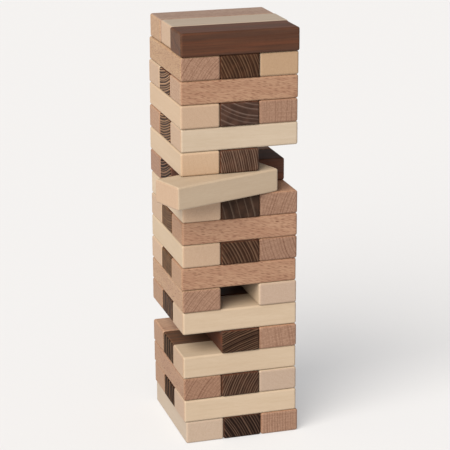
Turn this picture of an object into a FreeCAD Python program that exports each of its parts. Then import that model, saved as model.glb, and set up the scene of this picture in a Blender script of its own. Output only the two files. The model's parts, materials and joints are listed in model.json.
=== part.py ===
import FreeCAD, Part
import os

import Sketcher
from FreeCAD import Vector

# Giant tumbling tower: fifty-one equal wooden blocks, stacked in eighteen crosswise layers.
# Seventeen layers of three were laid first. Then one block each was taken out of layers 5, 7
# and 13 and laid on top as the eighteenth layer, and one block of layer 12 was swung half out.
# +X runs to the right along the tower's front, +Y to its back and +Z up. The origin is the
# middle of the footprint, on the ground. Lengths are in millimetres and angles in degrees.

DIMENSIONS = {
    # One block: three of its widths are its length, and five of its depths nearly so.
    "block_length": 190.0,
    "block_width": 63.0,
    "block_depth": 37.2,
    "edge_round": 3.5,
    # Air between blocks side by side, and between one layer and the next.
    "side_gap": 0.3,
    "layer_gap": 0.1,
    # Middle of the block that is swung half out of its layer, and how far it is turned.
    "swung_x": -36.0,
    "swung_y": -90.0,
    "swung_turn": 18.5,
}

# The lanes of a layer, in the order of its woods and slips below.
LANES = {
    "across": ("front", "middle", "back"),
    "deep": ("left", "middle", "right"),
}

# Layers from the ground up: the way the blocks run (across = along X, deep = along Y), the wood
# in each lane (None where the block has been taken out), how far each block has slipped along
# its own length, and how far the whole layer has been nudged sideways.
LAYERS = (
    ("deep", ("maple", "walnut", "beech"), (0.5, 0.0, -0.5), 3.0),
    ("across", ("maple", "walnut", "beech"), (0.0, 0.5, 1.0), 0.0),
    ("deep", ("beech", "walnut", "maple"), (0.5, -1.0, 0.0), 0.0),
    ("across", ("maple", "walnut", "beech"), (-0.5, 0.0, 0.0), 1.5),
    ("deep", (None, "walnut", "beech"), (0.0, -1.0, 0.0), 0.0),
    ("across", ("maple", "walnut", "beech"), (0.0, 0.0, 0.0), 2.0),
    ("deep", ("beech", None, "maple"), (0.0, 0.0, 0.0), -0.5),
    ("across", ("beech", "walnut", "maple"), (-1.5, -0.5, -0.5), 0.5),
    ("deep", ("maple", "walnut", "beech"), (0.5, -1.0, 0.5), 0.0),
    ("across", ("beech", "walnut", "maple"), (0.0, 0.5, 0.0), 0.5),
    ("deep", ("maple", "walnut", "beech"), (0.0, -1.0, 1.0), 0.5),
    ("across", ("maple", "walnut", "beech"), (0.0, -0.5, -0.5), 1.0),
    ("deep", ("maple", "walnut", None), (0.0, -1.0, 0.0), -1.0),
    ("across", ("maple", "walnut", "beech"), (0.0, 0.0, -0.5), 1.5),
    ("deep", ("maple", "walnut", "beech"), (0.0, -0.5, 0.5), -0.5),
    ("across", ("beech", "walnut", "maple"), (0.0, 0.0, -0.5), 0.5),
    ("deep", ("beech", "walnut", "maple"), (0.0, -0.5, 0.5), 0.5),
    ("across", ("walnut", "maple", "beech"), (1.0, 3.5, 2.0), -2.0),
)

# The block that is swung half out: its layer and lane.
SWUNG = (12, "front")


def blocks():
    """Every block that is there, as (layer, way, lane number, lane name, wood, slip)."""
    for layer, (way, woods, slips, _) in enumerate(LAYERS, start=1):
        for lane, wood in enumerate(woods):
            if wood:
                yield layer, way, lane, LANES[way][lane], wood, slips[lane]


def slip_alias(layer, lane_name):
    return f"slip_{layer:02d}_{lane_name}"


def nudge_alias(layer):
    return f"nudge_{layer:02d}"


def make_sheet(doc):
    """The driving dimensions, then each layer's nudge and each block's slip."""
    cells = dict(DIMENSIONS)
    for layer, (_, _, _, nudge) in enumerate(LAYERS, start=1):
        cells[nudge_alias(layer)] = nudge
    for layer, _, _, lane_name, _, slip in blocks():
        cells[slip_alias(layer, lane_name)] = slip

    sheet = doc.addObject("Spreadsheet::Sheet", "dimensions")
    for row, (alias, value) in enumerate(cells.items(), start=1):
        sheet.set(f"A{row}", alias)
        sheet.set(f"B{row}", str(value))
        sheet.setAlias(f"B{row}", alias)
    doc.recompute()
    return sheet


def origin_plane(body, role):
    return next(plane for plane in body.Origin.OriginFeatures if plane.Role == role)


def make_outline(body, label, sheet):
    """A rectangle, block_length along X and block_width along Y, about the body's origin."""
    outline = body.newObject("Sketcher::SketchObject", f"{label}_outline")
    outline.AttachmentSupport = [(origin_plane(body, "XY_Plane"), "")]
    outline.MapMode = "FlatFace"

    half_length = sheet.block_length / 2
    half_width = sheet.block_width / 2
    corners = [
        Vector(-half_length, -half_width, 0),
        Vector(half_length, -half_width, 0),
        Vector(half_length, half_width, 0),
        Vector(-half_length, half_width, 0),
    ]
    for start, end in zip(corners, corners[1:] + corners[:1]):
        outline.addGeometry(Part.LineSegment(start, end))

    front, right, back, left = range(4)
    for side, following in ((front, right), (right, back), (back, left), (left, front)):
        outline.addConstraint(Sketcher.Constraint("Coincident", side, 2, following, 1))
    for side in (front, back):
        outline.addConstraint(Sketcher.Constraint("Horizontal", side))
    for side in (right, left):
        outline.addConstraint(Sketcher.Constraint("Vertical", side))
    outline.addConstraint(Sketcher.Constraint("Symmetric", front, 1, back, 1, -1, 1))

    sizes = (
        ("long_side", "DistanceX", front, "block_length"),
        ("short_side", "DistanceY", right, "block_width"),
    )
    for name, kind, side, alias in sizes:
        index = outline.addConstraint(Sketcher.Constraint(kind, side, 1, side, 2, sheet.get(alias)))
        outline.renameConstraint(index, name)
        outline.setExpression(f"Constraints.{name}", f"dimensions.{alias}")
    return outline


def make_block(doc, label, sheet):
    """One block lying flat: its outline padded up by its depth, with every edge rounded."""
    body = doc.addObject("PartDesign::Body", label)
    body.Label = label

    pad = body.newObject("PartDesign::Pad", f"{label}_pad")
    pad.Profile = make_outline(body, label, sheet)
    pad.setExpression("Length", "dimensions.block_depth")
    doc.recompute()

    rounding = body.newObject("PartDesign::Fillet", f"{label}_rounding")
    rounding.Base = (pad, [f"Edge{number}" for number in range(1, len(pad.Shape.Edges) + 1)])
    rounding.setExpression("Radius", "dimensions.edge_round")
    body.Tip = rounding
    return body


def place_block(body, layer, way, lane, lane_name):
    """Bind the block's place in the tower, or beside it for the swung one, to the sheet."""
    along = f"dimensions.{slip_alias(layer, lane_name)}"
    sideways = (
        f"{lane - 1} * (dimensions.block_width + dimensions.side_gap)"
        f" + dimensions.{nudge_alias(layer)}"
    )
    quarter_turn = 90

    body.Placement = FreeCAD.Placement(Vector(), FreeCAD.Rotation(Vector(0, 0, 1), quarter_turn))
    if (layer, lane_name) == SWUNG:
        places = ("dimensions.swung_x", "dimensions.swung_y", "dimensions.swung_turn")
    elif way == "across":
        places = (along, sideways, "0")
    else:
        places = (sideways, along, str(quarter_turn))

    x, y, turn = places
    body.setExpression("Placement.Base.x", x)
    body.setExpression("Placement.Base.y", y)
    body.setExpression(
        "Placement.Base.z", f"{layer - 1} * (dimensions.block_depth + dimensions.layer_gap)"
    )
    body.setExpression("Placement.Rotation.Angle", turn)


def check(doc, bodies):
    """Stop before anything is written if the document or a block is not sound."""
    for item in doc.Objects:
        if "Invalid" in item.State or "Error" in item.State:
            raise RuntimeError(f"{item.Label} did not recompute: {item.State}")
    for body in bodies:
        if body.Shape.isNull() or not body.Shape.isValid() or len(body.Shape.Solids) != 1:
            raise RuntimeError(f"{body.Label} is not one valid solid")


def main():
    doc = FreeCAD.newDocument("tumbling_tower")
    sheet = make_sheet(doc)

    bodies = []
    for layer, way, lane, lane_name, wood, _ in blocks():
        body = make_block(doc, f"layer_{layer:02d}_{lane_name}_{wood}", sheet)
        place_block(body, layer, way, lane, lane_name)
        bodies.append(body)
    doc.recompute()
    check(doc, bodies)

    os.makedirs("parts", exist_ok=True)
    for body in bodies:
        body.Shape.exportStep(f"parts/{body.Label}.step")
    print(f"{len(bodies)} blocks written")


main()
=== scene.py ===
import json
import math
import random

import bpy
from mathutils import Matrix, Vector


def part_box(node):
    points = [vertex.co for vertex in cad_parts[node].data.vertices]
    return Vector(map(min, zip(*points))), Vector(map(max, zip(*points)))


# Looks for the tumbling tower: every block of the frame gets a wood of its own, cut from a tree
# that is drawn in three dimensions, so that its rings, rays and pores run through all six faces.
# Then come a pale floor, soft light and the camera. Lengths are metres, except inside the woods,
# where they are millimetres, measured from the middle of the block.

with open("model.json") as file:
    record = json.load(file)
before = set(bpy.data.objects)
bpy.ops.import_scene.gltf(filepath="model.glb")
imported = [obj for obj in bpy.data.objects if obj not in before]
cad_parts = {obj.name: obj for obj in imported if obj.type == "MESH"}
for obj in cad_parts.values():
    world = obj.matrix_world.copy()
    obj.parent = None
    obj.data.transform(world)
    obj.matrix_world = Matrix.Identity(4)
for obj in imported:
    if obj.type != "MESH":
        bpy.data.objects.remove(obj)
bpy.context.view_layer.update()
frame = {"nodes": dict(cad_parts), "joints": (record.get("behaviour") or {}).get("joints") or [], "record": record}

MM = 0.001


def from_srgb(red, green, blue):
    """A colour given as 0 to 255 on a screen, as the linear colour that a shader takes."""
    def linear(value):
        share = value / 255
        return share / 12.92 if share <= 0.04045 else ((share + 0.055) / 1.055) ** 2.4

    return (linear(red), linear(green), linear(blue), 1.0)


# ------------------------------------------------------------------ node trees


class Graph:
    """A node tree that is written as nested calls. A value is a number, a tuple or a socket."""

    def __init__(self, tree):
        self.tree = tree

    def set(self, socket, value):
        if isinstance(value, bpy.types.NodeSocket):
            self.tree.links.new(value, socket)
        elif value is not None:
            socket.default_value = value

    def node(self, kind, inputs=None, **settings):
        made = self.tree.nodes.new(kind)
        for name, value in settings.items():
            setattr(made, name, value)
        for name, value in (inputs or {}).items():
            self.set(made.inputs[name], value)
        return made

    def math(self, operation, first, second=None):
        return self.node("ShaderNodeMath", {0: first, 1: second}, operation=operation).outputs[0]

    def add(self, first, second):
        return self.math("ADD", first, second)

    def subtract(self, first, second):
        return self.math("SUBTRACT", first, second)

    def multiply(self, first, second):
        return self.math("MULTIPLY", first, second)

    def vector(self, operation, first, second=None):
        made = self.node("ShaderNodeVectorMath", {0: first, 1: second}, operation=operation)
        return made.outputs["Value" if operation in ("LENGTH", "DOT_PRODUCT") else "Vector"]

    def scaled(self, vector, factor):
        made = self.node("ShaderNodeVectorMath", {0: vector, "Scale": factor}, operation="SCALE")
        return made.outputs["Vector"]

    def stretch(self, place, along, across):
        """The place counted in features: so many in a millimetre along the grain, and across it."""
        return self.vector("MULTIPLY", place, (along, across, across))

    def combine(self, x, y, z):
        return self.node("ShaderNodeCombineXYZ", {0: x, 1: y, 2: z}).outputs[0]

    def separate(self, vector):
        return self.node("ShaderNodeSeparateXYZ", {0: vector}).outputs

    def ramp(self, value, low, high, to_low=0.0, to_high=1.0):
        """value eased from to_low at low to to_high at high, and held beyond them."""
        limits = {"From Min": low, "From Max": high, "To Min": to_low, "To Max": to_high}
        made = self.node(
            "ShaderNodeMapRange", {"Value": value, **limits}, interpolation_type="SMOOTHSTEP"
        )
        return made.outputs["Result"]

    def spread(self, noise, to_low, to_high):
        """A noise, which seldom leaves 0.3 to 0.7, spread from to_low to to_high."""
        return self.ramp(noise, 0.3, 0.7, to_low, to_high)

    def mix(self, factor, first, second, blend="MIX"):
        """The colour first where factor is 0, and where it is 1 second, or the two blended."""
        # The node has inputs and outputs for numbers and vectors too. These are the colours.
        inputs = {0: factor, 6: first, 7: second}
        return self.node("ShaderNodeMix", inputs, data_type="RGBA", blend_type=blend).outputs[2]

    def noise(self, vector, detail=2.0, roughness=0.5, output="Fac"):
        inputs = {"Vector": vector, "Scale": 1.0, "Detail": detail, "Roughness": roughness}
        return self.node("ShaderNodeTexNoise", inputs).outputs[output]

    def line_noise(self, value):
        inputs = {"W": value, "Scale": 1.0, "Detail": 1.0, "Roughness": 0.5}
        return self.node("ShaderNodeTexNoise", inputs, noise_dimensions="1D").outputs["Fac"]

    def cells(self, vector, output="Distance"):
        inputs = {"Vector": vector, "Scale": 1.0, "Randomness": 1.0}
        return self.node("ShaderNodeTexVoronoi", inputs).outputs[output]


# ------------------------------------------------------------------ the three woods

GROUP_INPUTS = (
    ("Place", "NodeSocketVector"),
    ("Facing", "NodeSocketVector"),
    ("Pith", "NodeSocketVector"),
    ("Ring width", "NodeSocketFloat"),
    ("Contrast", "NodeSocketFloat"),
    ("Seed", "NodeSocketFloat"),
    ("Slope", "NodeSocketFloat"),
    ("End tone and painted light", "NodeSocketColor"),
    ("Long tone and painted light", "NodeSocketColor"),
)
GROUP_OUTPUTS = (
    ("Colour", "NodeSocketColor"),
    ("Roughness", "NodeSocketFloat"),
    ("Relief", "NodeSocketFloat"),
)


def new_group(name):
    """An empty node group for a wood: its graph, and the sockets of what it is given."""
    tree = bpy.data.node_groups.new(name, "ShaderNodeTree")
    for direction, sockets in (("INPUT", GROUP_INPUTS), ("OUTPUT", GROUP_OUTPUTS)):
        for label, kind in sockets:
            tree.interface.new_socket(name=label, in_out=direction, socket_type=kind)
    graph = Graph(tree)
    return graph, graph.node("NodeGroupInput").outputs


def tree_rings(graph, given, waviness):
    """Where a point lies in its tree: its place in the pattern of the wood, its place from the
    pith, across the grain, and how many rings out it is."""
    # The fibres may run a little uphill or downhill from end to end.
    along, side, up = graph.separate(given["Place"])
    leaning = graph.combine(along, side, graph.add(up, graph.multiply(along, given["Slope"])))

    # Each block is cut from another stretch of the pattern.
    own_start = graph.scaled((61.0, 37.0, 89.0), given["Seed"])
    place = graph.vector("ADD", leaning, own_start)

    # The rings wander slowly along the block and a little faster across it.
    wander = graph.noise(graph.stretch(place, 0.006, 0.03), detail=1.5, output="Color")
    wander = graph.vector("SUBTRACT", wander, (0.5, 0.5, 0.5))
    from_pith = graph.vector("SUBTRACT", given["Place"], given["Pith"])
    from_pith = graph.vector("ADD", from_pith, graph.scaled(wander, waviness))
    from_pith = graph.vector("MULTIPLY", from_pith, (0.0, 1.0, 1.0))

    ring = graph.math("DIVIDE", graph.vector("LENGTH", from_pith), given["Ring width"])
    unevenness = graph.line_noise(graph.add(graph.multiply(ring, 0.6), given["Seed"]))
    return place, from_pith, graph.add(ring, unevenness)


def ring_strength(graph, given, ring, weakest):
    """A strength that each ring has for itself, from weakest to a little over 1."""
    noise_between_rings = 3.7
    number = graph.multiply(graph.math("FLOOR", ring), noise_between_rings)
    chance = graph.line_noise(graph.add(number, given["Seed"]))
    return graph.spread(chance, weakest, 1.1)


def flat_sawn(graph, given, from_pith):
    """1 on a face that lies along the rings, and 0 on one that cuts straight across them."""
    facing = graph.vector("DOT_PRODUCT", given["Facing"], graph.vector("NORMALIZE", from_pith))
    return graph.ramp(graph.math("ABSOLUTE", facing), 0.35, 0.9)


def around_pith(graph, given, from_pith):
    """How far round the pith a point lies, as a length at the middle of the block."""
    _, side, up = graph.separate(from_pith)
    return graph.multiply(graph.math("ARCTAN2", side, up), graph.vector("LENGTH", given["Pith"]))


def finish_wood(graph, given, end_colour, long_colour, roughness, relief):
    """The wood's outputs: its ends and its long sides, each multiplied by the block's tone, which holds painted
    light and shade as well as the block's own colour.
    """
    end_colour = graph.mix(1.0, end_colour, given["End tone and painted light"], blend="MULTIPLY")
    long_colour = graph.mix(1.0, long_colour, given["Long tone and painted light"], blend="MULTIPLY")
    endways = graph.math("ABSOLUTE", graph.separate(given["Facing"])[0])
    colour = graph.mix(graph.ramp(endways, 0.5, 0.8), long_colour, end_colour)
    graph.node("NodeGroupOutput", {"Colour": colour, "Roughness": roughness, "Relief": relief})
    return graph.tree


def walnut_group():
    """Dark wood: pale lines of pores on near-black rings at the ends, red-brown streaks along."""
    graph, given = new_group("walnut_wood")
    place, _, ring = tree_rings(graph, given, waviness=2.5)
    width = given["Ring width"]
    contrast = given["Contrast"]

    # Each ring starts with a line of open pores, which fades into dense dark wood.
    into_ring = graph.multiply(graph.math("FRACT", ring), width)
    fade_end = graph.math("MINIMUM", graph.multiply(width, 0.62), 3.6)
    fading = graph.ramp(into_ring, 0.7, fade_end, 1.0, 0.0)
    line = graph.multiply(graph.ramp(into_ring, 0.0, 0.6), fading)
    line = graph.multiply(line, ring_strength(graph, given, ring, weakest=0.55))

    pores = graph.ramp(graph.cells(graph.stretch(place, 0.02, 1.05)), 0.1, 0.4, 1.0, 0.0)
    end_light = graph.multiply(line, graph.add(0.82, graph.multiply(pores, 0.4)))
    end_light = graph.multiply(end_light, graph.math("MINIMUM", contrast, 1.1))
    end_light = graph.add(end_light, graph.multiply(pores, 0.05))
    mottle = graph.noise(graph.stretch(place, 0.03, 0.07), detail=3.0)
    end_dark = graph.mix(graph.ramp(mottle, 0.35, 0.7), from_srgb(42, 27, 19), from_srgb(55, 36, 26))
    end_dark = graph.scaled(end_dark, graph.ramp(contrast, 0.2, 2.0, 1.3, 0.25))
    end_colour = graph.mix(end_light, end_dark, from_srgb(110, 89, 74))

    # Along the grain the rings become long soft bands, redder here and greyer there.
    band = graph.noise(graph.stretch(place, 0.006, 0.09))
    fibre = graph.noise(graph.stretch(place, 0.02, 0.9), detail=3.0, roughness=0.65)
    long_light = graph.add(graph.multiply(line, 0.08), graph.spread(band, 0.3, 0.5))
    long_light = graph.add(long_light, graph.spread(fibre, -0.12, 0.14))
    long_colour = graph.mix(long_light, from_srgb(51, 29, 20), from_srgb(96, 63, 47))
    hue = graph.noise(graph.stretch(place, 0.004, 0.12))
    redness = graph.ramp(hue, 0.5, 0.62, 0.0, 0.3)
    long_colour = graph.mix(redness, long_colour, from_srgb(98, 55, 36))
    greyness = graph.ramp(hue, 0.38, 0.5, 0.3, 0.0)
    long_colour = graph.mix(greyness, long_colour, from_srgb(66, 50, 44))

    # Pores that are cut lengthways are hair-thin dark scratches.
    scratch = graph.ramp(graph.cells(graph.stretch(place, 0.07, 1.5)), 0.1, 0.3, 0.35, 0.0)
    long_colour = graph.mix(scratch, long_colour, from_srgb(30, 16, 10))

    roughness = graph.spread(fibre, 0.5, 0.64)
    relief = graph.subtract(graph.multiply(fibre, 0.5), graph.multiply(scratch, 0.8))
    return finish_wood(graph, given, end_colour, long_colour, roughness, relief)


def beech_group():
    """Pinkish wood: thin dark ring lines at the ends, and short dark ray flecks along."""
    graph, given = new_group("beech_wood")
    place, from_pith, ring = tree_rings(graph, given, waviness=4.0)

    # A ring darkens slowly and ends in a thin line.
    into_ring = graph.math("FRACT", ring)
    ending = graph.ramp(into_ring, 0.92, 1.0, 1.0, 0.0)
    late = graph.multiply(graph.ramp(into_ring, 0.5, 0.88), ending)
    late = graph.multiply(late, ring_strength(graph, given, ring, weakest=0.3))
    end_light = graph.subtract(1.0, graph.multiply(late, given["Contrast"]))
    end_colour = graph.mix(end_light, from_srgb(96, 62, 47), from_srgb(146, 115, 96))

    # Small dark specks lie on it, pale rays cross it from the pith outward, and blotches shade it.
    darker = from_srgb(110, 78, 60)
    speck = graph.noise(graph.stretch(place, 0.1, 0.75))
    end_colour = graph.mix(graph.ramp(speck, 0.35, 0.7, 0.0, 0.5), end_colour, darker)
    around = around_pith(graph, given, from_pith)
    ray = graph.line_noise(graph.add(graph.multiply(around, 0.5), given["Seed"]))
    ray = graph.ramp(ray, 0.45, 0.65, 0.0, 0.35)
    end_colour = graph.mix(ray, end_colour, from_srgb(156, 126, 106))
    blotch = graph.noise(graph.stretch(place, 0.1, 0.28), detail=1.0)
    end_colour = graph.mix(graph.ramp(blotch, 0.4, 0.65, 0.0, 0.3), end_colour, darker)

    # Rays stand along the grain, and a face shows their edges as short dark spindles.
    drift = graph.noise(graph.stretch(place, 0.02, 0.12), output="Color")
    spots = graph.vector("ADD", graph.stretch(place, 0.1, 1.1), drift)
    spindle = graph.ramp(graph.cells(spots), 0.1, 0.55, 1.0, 0.0)
    chance = graph.separate(graph.cells(spots, output="Color"))[0]
    fleck = graph.multiply(spindle, graph.ramp(chance, 0.1, 0.9, 0.25, 1.0))
    bolder = graph.ramp(flat_sawn(graph, given, from_pith), 0.0, 1.0, 1.0, 1.2)
    fleck = graph.multiply(fleck, bolder)

    fibre = graph.noise(graph.stretch(place, 0.07, 0.6), detail=3.0, roughness=0.6)
    cloud = graph.noise(graph.stretch(place, 0.01, 0.05))
    long_light = graph.add(graph.spread(cloud, 0.45, 0.8), graph.spread(fibre, -0.3, 0.3))
    long_light = graph.subtract(long_light, graph.multiply(late, 0.1))
    long_colour = graph.mix(long_light, from_srgb(147, 107, 84), from_srgb(166, 130, 104))
    long_colour = graph.mix(fleck, long_colour, from_srgb(102, 62, 45))

    roughness = graph.spread(fibre, 0.52, 0.66)
    relief = graph.subtract(graph.multiply(fibre, 0.5), graph.multiply(fleck, 0.35))
    return finish_wood(graph, given, end_colour, long_colour, roughness, relief)


def maple_group():
    """Pale wood: nearly even, with faint ring lines and very fine flecks."""
    graph, given = new_group("maple_wood")
    place, _, ring = tree_rings(graph, given, waviness=6.0)

    into_ring = graph.math("FRACT", ring)
    ending = graph.ramp(into_ring, 0.96, 1.0, 1.0, 0.0)
    late = graph.multiply(graph.ramp(into_ring, 0.7, 0.95), ending)
    late = graph.multiply(late, given["Contrast"])
    speck = graph.noise(graph.stretch(place, 0.12, 0.55), detail=3.0)
    end_light = graph.subtract(graph.spread(speck, 0.4, 0.75), graph.multiply(late, 0.25))
    end_colour = graph.mix(end_light, from_srgb(156, 130, 107), from_srgb(172, 148, 127))

    fibre = graph.noise(graph.stretch(place, 0.06, 0.6), detail=3.0, roughness=0.6)
    streak = graph.noise(graph.stretch(place, 0.008, 0.07), detail=1.5)
    long_light = graph.add(graph.spread(streak, 0.45, 0.65), graph.spread(fibre, -0.12, 0.12))
    long_light = graph.subtract(long_light, graph.multiply(late, 0.25))
    long_colour = graph.mix(long_light, from_srgb(167, 147, 124), from_srgb(182, 164, 143))
    fleck = graph.ramp(graph.cells(graph.stretch(place, 0.25, 0.8)), 0.1, 0.4, 0.1, 0.0)
    long_colour = graph.mix(fleck, long_colour, from_srgb(152, 124, 98))

    roughness = graph.spread(fibre, 0.48, 0.62)
    relief = graph.subtract(graph.multiply(fibre, 0.45), graph.multiply(fleck, 0.8))
    return finish_wood(graph, given, end_colour, long_colour, roughness, relief)


WOODS = {"walnut": walnut_group(), "beech": beech_group(), "maple": maple_group()}

# ------------------------------------------------------------------ the blocks

# How each wood's rings usually run: the pith's distance from the middle of the block, the width
# of a ring, and how strongly the rings show; and how glossy it is.
HABITS = {
    "walnut": {"reach": (90, 160), "ring": (4.0, 6.0), "contrast": 0.8, "gloss": 0.08},
    "beech": {"reach": (100, 200), "ring": (4.0, 6.0), "contrast": 0.5, "gloss": 0.3},
    "maple": {"reach": (100, 200), "ring": (7.0, 11.0), "contrast": 0.5, "gloss": 0.3},
}

# The blocks whose rings can be made out: where the pith lies, right and up from the middle of the
# end that faces the front or the left, the width of a ring, and how strongly the rings show.
END_GRAIN = {
    "layer_18_front_walnut": ((60, 150), 4.5, 0.15),
    "layer_17_left_beech": ((130, -95), 4.5, 0.9),
    "layer_17_middle_walnut": ((-150, -60), 4.6, 0.7),
    "layer_16_front_beech": ((-140, 10), 5.5, 0.3),
    "layer_16_middle_walnut": ((-50, 190), 4.1, 1.5),
    "layer_15_middle_walnut": ((48, 130), 7.6, 0.45),
    "layer_15_right_beech": ((-260, 10), 4.6, 0.55),
    "layer_14_middle_walnut": ((-45, 190), 4.1, 1.5),
    "layer_13_middle_walnut": ((-300, -62), 3.4, 0.7),
    "layer_12_middle_walnut": ((-60, 180), 4.4, 1.8),
    "layer_11_middle_walnut": ((-190, -50), 11.6, 0.5),
    "layer_11_right_beech": ((170, -62), 4.8, 0.8),
    "layer_10_front_beech": ((-130, -15), 5.5, 0.3),
    "layer_10_middle_walnut": ((-10, 160), 4.0, 0.3),
    "layer_09_middle_walnut": ((-150, -75), 5.0, 0.75),
    "layer_09_right_beech": ((130, 45), 5.2, 0.95),
    "layer_08_front_beech": ((-140, 15), 5.0, 0.3),
    "layer_08_middle_walnut": ((20, 160), 4.0, 0.35),
    "layer_07_left_beech": ((110, -95), 4.8, 0.9),
    "layer_06_middle_walnut": ((140, 20), 10.0, 1.3),
    "layer_05_middle_walnut": ((95, -270), 3.4, 1.1),
    "layer_05_right_beech": ((-200, -30), 5.6, 0.55),
    "layer_04_middle_walnut": ((140, 10), 13.0, 1.4),
    "layer_03_left_beech": ((120, -85), 5.4, 0.9),
    "layer_03_middle_walnut": ((180, -85), 4.0, 0.75),
    "layer_02_middle_walnut": ((150, 20), 11.0, 1.7),
    "layer_01_middle_walnut": ((-150, -85), 4.2, 1.35),
    "layer_01_right_beech": ((260, 8), 4.6, 0.8),
}

# Blocks whose fibres run downhill to the right, as a rise for each step along.
SLOPES = {"layer_16_front_beech": 0.2, "layer_10_front_beech": 0.15, "layer_08_front_beech": 0.2}

# Walnut glossier or duller than usual, to bring its sheen close to the photograph's.
GLOSSES = {
    "layer_18_front_walnut": 0.25,
    "layer_12_middle_walnut": 0.05,
    "layer_04_middle_walnut": 0.02,
    "layer_02_middle_walnut": 0.02,
}

# What the colours of the ends, and then of the long sides, are multiplied by: red, green, blue.
# They are rounded from each face's colour in the photograph over its rendered colour,
# so they make up for light, gloss and shadow as well as for the wood.
END_TONES_AND_PAINTED_LIGHT = {
    "layer_18_front_walnut": (1.8, 1.5, 1.05),
    "layer_18_back_beech": (1.35, 1.5, 1.4),
    "layer_17_middle_walnut": (1.04, 0.93, 0.78),
    "layer_17_right_maple": (0.9, 0.85, 0.75),
    "layer_16_front_beech": (1.3, 1.45, 1.45),
    "layer_16_middle_walnut": (2.7, 2.55, 2.2),
    "layer_15_middle_walnut": (1.35, 1.5, 1.8),
    "layer_14_middle_walnut": (2.2, 2.05, 1.7),
    "layer_14_back_beech": (1.2, 1.25, 1.2),
    "layer_13_left_maple": (1.12, 1.12, 1.08),
    "layer_13_middle_walnut": (1.5, 1.55, 1.65),
    "layer_12_middle_walnut": (1.35, 1.2, 1.1),
    "layer_11_left_maple": (1.15, 1.15, 1.15),
    "layer_11_middle_walnut": (1.05, 1.2, 1.32),
    "layer_10_front_beech": (1.1, 1.1, 1.0),
    "layer_10_middle_walnut": (1.9, 1.9, 1.45),
    "layer_09_middle_walnut": (1.0, 0.92, 0.84),
    "layer_09_right_beech": (0.93, 0.92, 0.92),
    "layer_08_front_beech": (1.15, 1.2, 1.1),
    "layer_08_middle_walnut": (1.7, 1.67, 1.13),
    "layer_07_right_maple": (0.97, 1.02, 1.12),
    "layer_06_front_maple": (0.95, 0.97, 0.97),
    "layer_06_middle_walnut": (1.3, 1.07, 0.82),
    "layer_06_back_beech": (1.1, 1.15, 1.1),
    "layer_05_middle_walnut": (0.78, 0.7, 0.63),
    "layer_04_front_maple": (0.88, 0.87, 0.85),
    "layer_04_middle_walnut": (1.24, 1.2, 1.05),
    "layer_04_back_beech": (1.1, 1.15, 1.1),
    "layer_03_left_beech": (0.92, 0.88, 0.85),
    "layer_03_middle_walnut": (1.0, 0.96, 0.94),
    "layer_03_right_maple": (0.94, 1.0, 1.1),
    "layer_02_front_maple": (0.9, 0.91, 0.95),
    "layer_02_middle_walnut": (1.18, 0.98, 0.8),
    "layer_02_back_beech": (1.1, 1.15, 1.1),
    "layer_01_left_maple": (1.0, 1.08, 1.18),
    "layer_01_middle_walnut": (0.58, 0.53, 0.53),
}
LONG_TONES_AND_PAINTED_LIGHT = {
    "layer_18_front_walnut": (0.97, 0.89, 0.76),
    "layer_18_middle_maple": (0.8, 0.84, 0.92),
    "layer_18_back_beech": (0.82, 1.0, 1.25),
    "layer_17_left_beech": (1.0, 1.15, 1.12),
    "layer_16_front_beech": (0.92, 0.95, 0.97),
    "layer_15_left_maple": (0.97, 0.91, 0.86),
    "layer_14_front_maple": (1.0, 1.04, 1.09),
    "layer_13_left_maple": (0.97, 0.94, 0.91),
    # Painted light: layer 12's walnut is made lighter where its long sides and top lie in shade.
    "layer_12_middle_walnut": (1.35, 1.5, 1.8),
    "layer_10_front_beech": (0.94, 0.97, 1.0),
    "layer_09_left_maple": (0.94, 0.93, 0.9),
    "layer_08_front_beech": (0.9, 0.92, 0.94),
    "layer_07_left_beech": (0.95, 1.08, 1.1),
    "layer_05_middle_walnut": (1.15, 1.1, 1.1),
    # Painted light: layer 4's walnut and beech are made lighter for the slot they show in, so they look paler than
    # their wood where light reaches them.
    "layer_04_middle_walnut": (1.28, 1.63, 1.73),
    "layer_04_back_beech": (1.08, 1.2, 1.3),
    "layer_03_left_beech": (0.83, 0.89, 0.92),
    "layer_01_left_maple": (0.82, 0.85, 0.92),
}


def grain_turn(name, body):
    """The angle from +X to the block's length, read from the slide that it is drawn along."""
    for joint in frame["joints"]:
        x, y, z = joint["axis"]
        if joint["child"] == body and not z:
            return math.atan2(y, x) % math.pi

    # A block with no such slide lies along X or along Y.
    low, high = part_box(name)
    return 0.0 if high.x - low.x > high.y - low.y else math.pi / 2


def block_axes(graph, name, body):
    """Where a point of the block lies and which way its face looks: along, to the right and up."""
    low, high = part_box(name)
    turn = grain_turn(name, body)
    coordinates = graph.node("ShaderNodeTexCoord").outputs
    mapping = {
        "Vector": coordinates["Object"],
        "Location": (low + high) / 2,
        "Rotation": (0, 0, turn),
        "Scale": (MM, -MM, MM),
    }
    place = graph.node("ShaderNodeMapping", mapping, vector_type="TEXTURE").outputs["Vector"]

    normal = coordinates["Normal"]
    facing = graph.combine(
        graph.vector("DOT_PRODUCT", normal, (math.cos(turn), math.sin(turn), 0.0)),
        graph.vector("DOT_PRODUCT", normal, (math.sin(turn), -math.cos(turn), 0.0)),
        graph.separate(normal)[2],
    )
    return {"Place": place, "Facing": facing}


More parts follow.
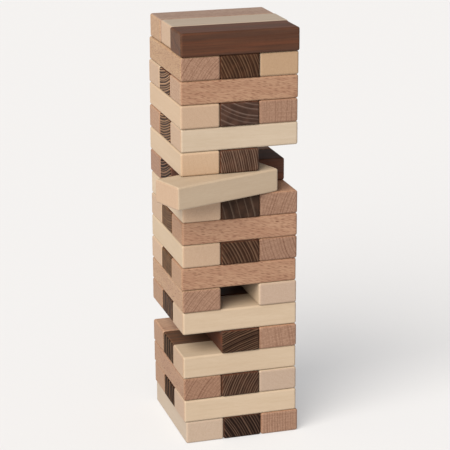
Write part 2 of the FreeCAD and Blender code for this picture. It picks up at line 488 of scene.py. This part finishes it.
def block_grain(name, habit):
    """How the block lay in its tree and how its tones differ: by chance, or as listed above, where the tones also
    hold painted light and shade.
    """
    chance = random.Random(name)
    angle = chance.uniform(0, 2 * math.pi)
    reach = chance.uniform(*habit["reach"])
    pith = (reach * math.cos(angle), reach * math.sin(angle))
    ring_width = chance.uniform(*habit["ring"])
    seed = chance.uniform(0, 40)
    slope = chance.uniform(-0.03, 0.03)
    usual_tone = [chance.uniform(0.96, 1.03)] * 3

    pith, ring_width, contrast = END_GRAIN.get(name, (pith, ring_width, habit["contrast"]))
    return {
        "Pith": (0.0, *pith),
        "Ring width": ring_width,
        "Contrast": contrast,
        "Seed": seed,
        "Slope": SLOPES.get(name, slope),
        "End tone and painted light": (*END_TONES_AND_PAINTED_LIGHT.get(name, usual_tone), 1.0),
        "Long tone and painted light": (*LONG_TONES_AND_PAINTED_LIGHT.get(name, usual_tone), 1.0),
    }


def block_material(name, body):
    wood = name.rsplit("_", 1)[1]
    habit = HABITS[wood]
    deepest_relief = 0.12 * MM

    material = bpy.data.materials.new(name)
    material.use_nodes = True
    material.node_tree.nodes.clear()
    graph = Graph(material.node_tree)

    given = {**block_axes(graph, name, body), **block_grain(name, habit)}
    cut = graph.node("ShaderNodeGroup", given, node_tree=WOODS[wood]).outputs
    bump = graph.node(
        "ShaderNodeBump", {"Height": cut["Relief"], "Distance": deepest_relief, "Strength": 0.5}
    )
    surface = {
        "Base Color": cut["Colour"],
        "Roughness": cut["Roughness"],
        "Normal": bump.outputs["Normal"],
        "IOR": 1.45,
        "Specular IOR Level": GLOSSES.get(name, habit["gloss"]),
    }
    shader = graph.node("ShaderNodeBsdfPrincipled", surface)
    graph.node("ShaderNodeOutputMaterial", {"Surface": shader.outputs[0]})
    return material


for body, names in frame["record"]["behaviour"]["bodies"].items():
    for name in names:
        material = block_material(name, body)
        for slot in frame["nodes"][name].material_slots:
            slot.material = material


# ------------------------------------------------------------------ floor, light and camera


def direction(azimuth, elevation):
    """The way from the tower to something that stands so many degrees right of the front and up."""
    azimuth, elevation = math.radians(azimuth), math.radians(elevation)
    return Vector((
        math.sin(azimuth) * math.cos(elevation),
        -math.cos(azimuth) * math.cos(elevation),
        math.sin(elevation),
    ))


def make_floor():
    """A pale sheet that glows a little, large enough to reach the horizon."""
    half = 40.0
    mesh = bpy.data.meshes.new("floor")
    corners = [(-half, -half, 0), (half, -half, 0), (half, half, 0), (-half, half, 0)]
    mesh.from_pydata(corners, [], [(0, 1, 2, 3)])
    floor = bpy.data.objects.new("floor", mesh)
    bpy.context.collection.objects.link(floor)

    material = bpy.data.materials.new("floor_paper")
    material.use_nodes = True
    shader = material.node_tree.nodes["Principled BSDF"]
    surface = {
        "Base Color": (0.4, 0.4, 0.41, 1),
        "Roughness": 0.9,
        "Specular IOR Level": 0.0,
        "Emission Color": (1, 1, 1, 1),
        "Emission Strength": 0.38,
    }
    for label, value in surface.items():
        shader.inputs[label].default_value = value
    mesh.materials.append(material)


def make_world():
    """Soft light from all round: warm and brightest at the horizon, grey and dimmer above."""
    horizon = (0.83, 0.8, 0.77, 1)
    overhead = (0.29, 0.29, 0.3, 1)
    height_of_overhead = 0.6

    world = bpy.data.worlds.new("studio")
    world.use_nodes = True
    world.node_tree.nodes.clear()
    graph = Graph(world.node_tree)
    height = graph.separate(graph.node("ShaderNodeTexCoord").outputs["Generated"])[2]
    colour = graph.mix(graph.ramp(height, 0.0, height_of_overhead), horizon, overhead)
    background = graph.node("ShaderNodeBackground", {"Color": colour, "Strength": 1.0})
    graph.node("ShaderNodeOutputWorld", {"Surface": background.outputs[0]})
    bpy.context.scene.world = world


def make_key_light():
    """A broad, warm sun, above the front and to its left."""
    toward_key = direction(azimuth=-50, elevation=38)
    light = bpy.data.lights.new("key", "SUN")
    light.angle = math.radians(50)
    light.color = (1.0, 0.95, 0.87)
    light.energy = 5.0
    key = bpy.data.objects.new("key", light)
    key.rotation_euler = (-toward_key).to_track_quat("-Z", "Y").to_euler()
    bpy.context.collection.objects.link(key)


def make_camera():
    """A long lens, a little above the tower and to the left of its front."""
    toward_camera = direction(azimuth=-16.74, elevation=17.13)
    distance = 2.77
    roll = math.radians(-0.25)
    target = Vector((0.0033, 0.0, 0.33405))

    camera_data = bpy.data.cameras.new("camera")
    camera_data.lens = 136.3
    camera_data.sensor_width = 36.0
    camera = bpy.data.objects.new("camera", camera_data)
    camera.location = target + toward_camera * distance
    camera.rotation_euler = (-toward_camera).to_track_quat("-Z", "Y").to_euler()
    camera.rotation_euler.rotate_axis("Z", roll)
    bpy.context.collection.objects.link(camera)
    bpy.context.scene.camera = camera


make_floor()
make_world()
make_key_light()
make_camera()
bpy.context.scene.view_settings.view_transform = "Standard"
